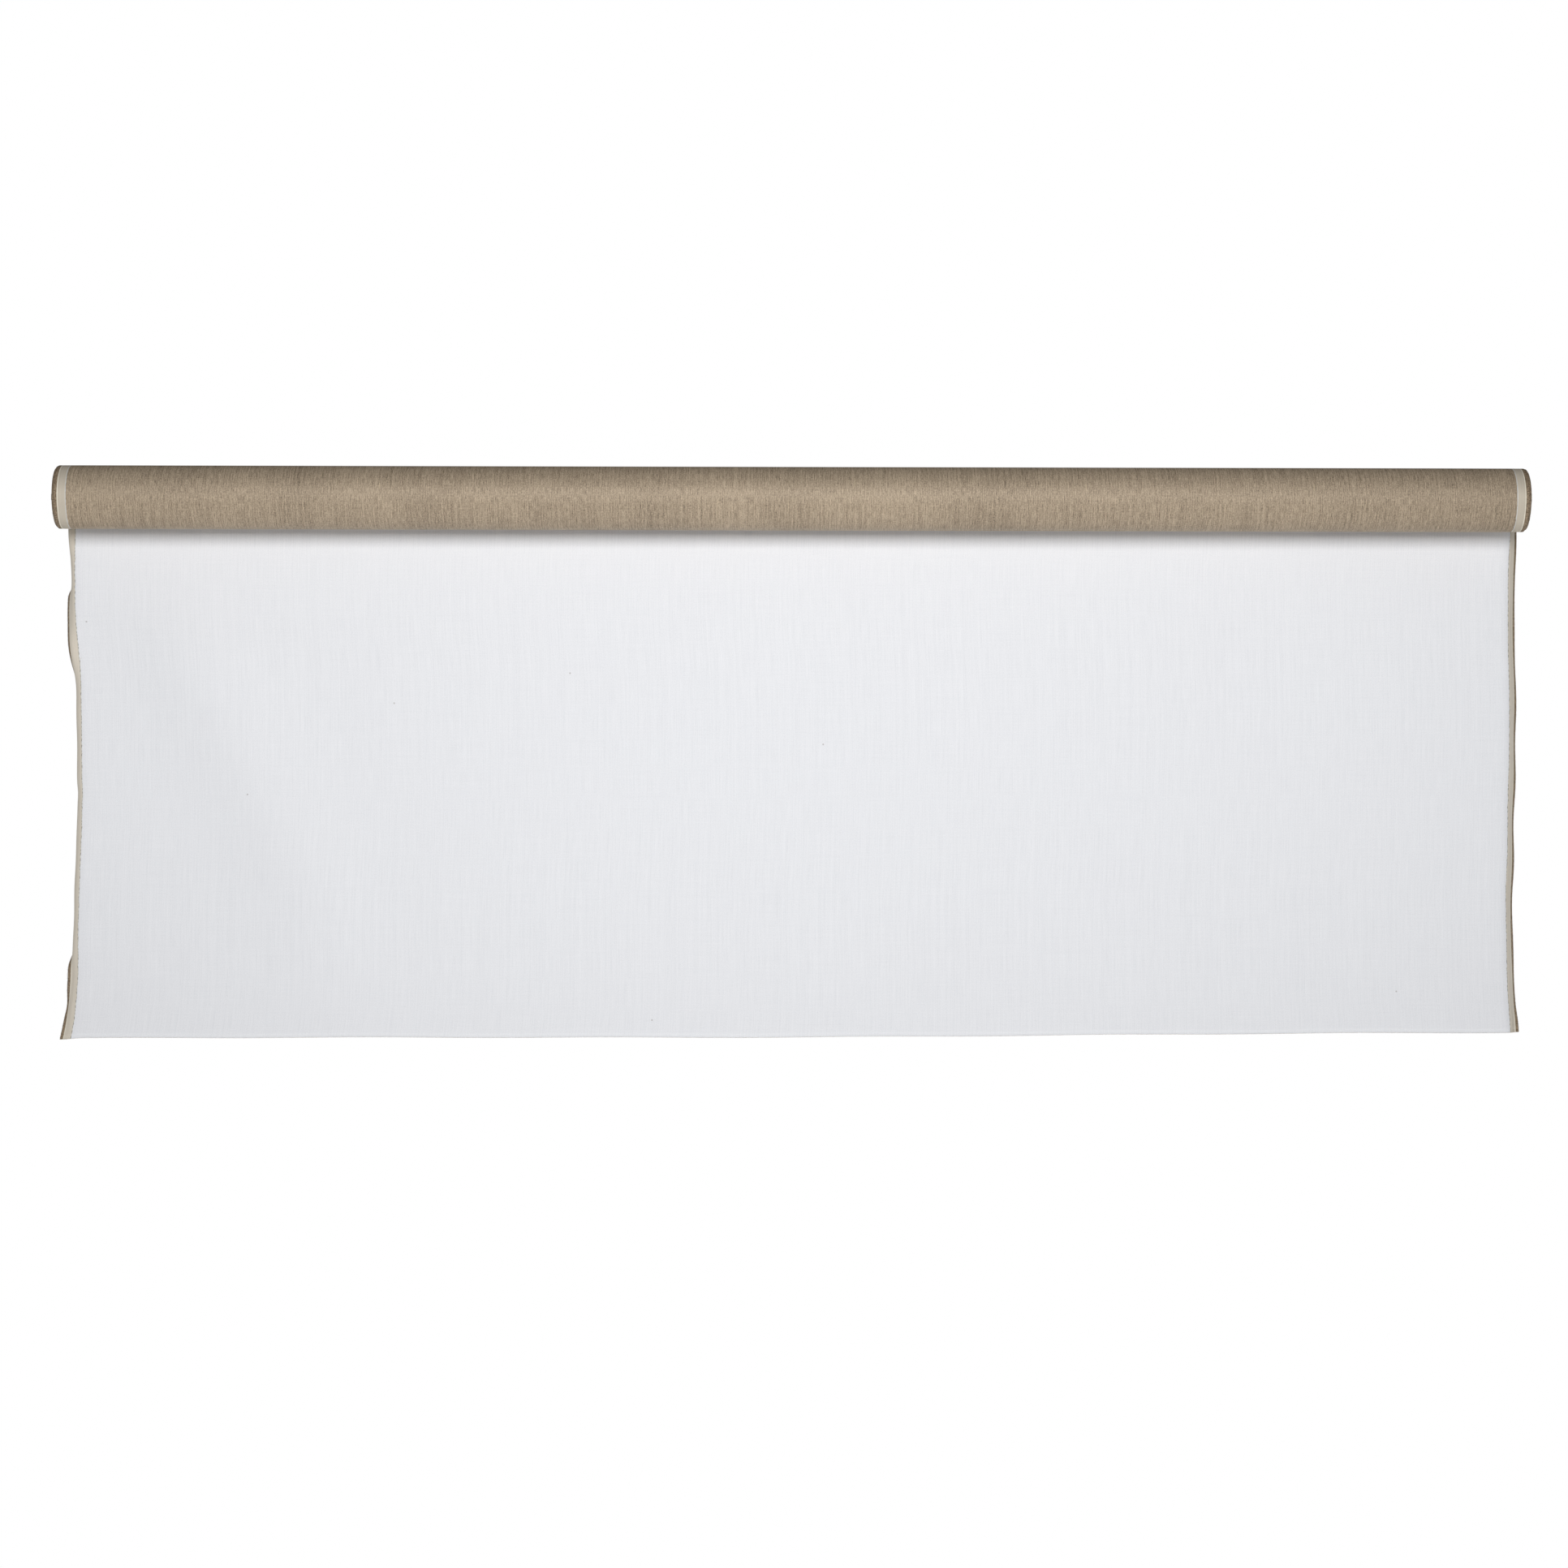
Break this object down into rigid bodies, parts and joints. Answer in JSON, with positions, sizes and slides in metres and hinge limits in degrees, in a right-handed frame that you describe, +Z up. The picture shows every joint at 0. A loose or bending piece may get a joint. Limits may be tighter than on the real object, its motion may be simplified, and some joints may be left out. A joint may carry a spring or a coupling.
{
  "type": "roller blind",
  "caption": "Cordless spring roller blind: coated linen cloth wound on a tube, hanging from the back of the roll to a raw lower edge, with a flat pin and a round pin in the roller's ends",
  "frame": {"origin": "on the roller's axis at the outer face of the end cap on the spring side, where the flat blade of the spear comes out", "axes": "+X along the roller from the spear to the idle pin, +Y away from the room, +Z up; the cloth hangs from the back of the roll"},
  "size_m": [1.209, 0.0658, 0.4651],
  "materials": {
    "cloth": "matte",
    "tube": "matte",
    "tape": "matte",
    "plated_steel": "satin",
    "spring_steel": "satin",
    "brass": "satin",
    "nylon": "satin",
    "wood": "matte"
  },
  "bodies": {
    "fixed": {"spear": "plated_steel", "ratchet": "plated_steel", "spring_rod": "wood", "spear_rivet": "plated_steel", "spring_collar": "nylon", "collar_screw": "plated_steel", "retaining_clip": "spring_steel"},
    "roller": {"core_tube": "tube", "fixing_tape": "tape", "end_cap": "plated_steel", "spear_bush": "nylon", "pawl_pins": "plated_steel", "plug_nails": "plated_steel", "tail_plug": "wood", "rod_bush": "nylon", "torsion_spring": "spring_steel", "idle_plug": "wood", "idle_ferrule": "plated_steel", "idle_pin": "plated_steel", "cloth_roll": "cloth"},
    "pawl_above": {"upper_pawl": "brass"},
    "pawl_below": {"lower_pawl": "brass"},
    "drop": {"cloth_drop": "cloth", "cloth_tail": "cloth"}
  },
  "joints": [
    {"name": "roller_spin", "type": "hinge", "parent": "fixed", "child": "roller", "pos_m": [0, 0, 0], "axis": [-1, 0, 0], "range_deg": [-529, 3687], "deforming": ["torsion_spring"]},
    {"name": "drop_slide", "type": "slide", "parent": "fixed", "child": "drop", "axis": [0, 0, -1], "range_m": [-0.24, 1.67], "deforming": ["cloth_drop"]},
    {"name": "upper_pawl_swing", "type": "hinge", "parent": "roller", "child": "pawl_above", "pos_m": [0.0031, 0, 0.011], "axis": [-1, 0, 0], "range_deg": [0, 28]},
    {"name": "lower_pawl_swing", "type": "hinge", "parent": "roller", "child": "pawl_below", "pos_m": [0.0031, 0, -0.011], "axis": [-1, 0, 0], "range_deg": [0, 28]}
  ],
  "couplings": [
    {"joint": "drop_slide", "follows": "roller_spin", "m_per_rad": 0.02595}
  ]
}
